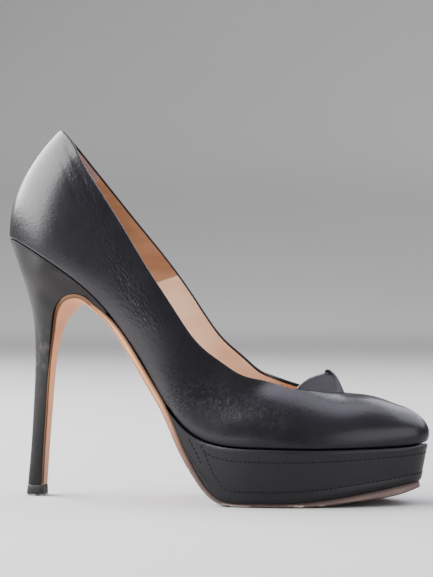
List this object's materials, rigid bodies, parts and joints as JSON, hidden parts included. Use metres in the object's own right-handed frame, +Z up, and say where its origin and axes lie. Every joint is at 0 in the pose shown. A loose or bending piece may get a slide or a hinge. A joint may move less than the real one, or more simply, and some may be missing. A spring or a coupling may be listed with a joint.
{
  "type": "platform pump",
  "caption": "Closed-toe leather pump for the right foot, with a stiletto heel, a covered forefoot platform and a raised tab at the throat.",
  "frame": {"origin": "centre of the box around the shoe, on the floor it stands on", "axes": "+X from the heel to the toe, +Y to the medial side, +Z up"},
  "size_m": [0.2228, 0.078, 0.194],
  "materials": {
    "upper": "smooth black calf, polished",
    "throat_tab": "smooth black calf, polished",
    "insole": "light tan lining leather",
    "platform": "smooth black calf, stitched",
    "outsole": "natural tan sole leather, worn at the edge",
    "heel": "black leather cover, lightly scuffed",
    "top_piece": "hard black rubber, matt"
  },
  "bodies": {
    "root": {"upper": "upper", "throat_tab": "throat_tab", "insole": "insole", "platform": "platform", "outsole": "outsole", "heel": "heel", "top_piece": "top_piece"}
  },
  "joints": []
}
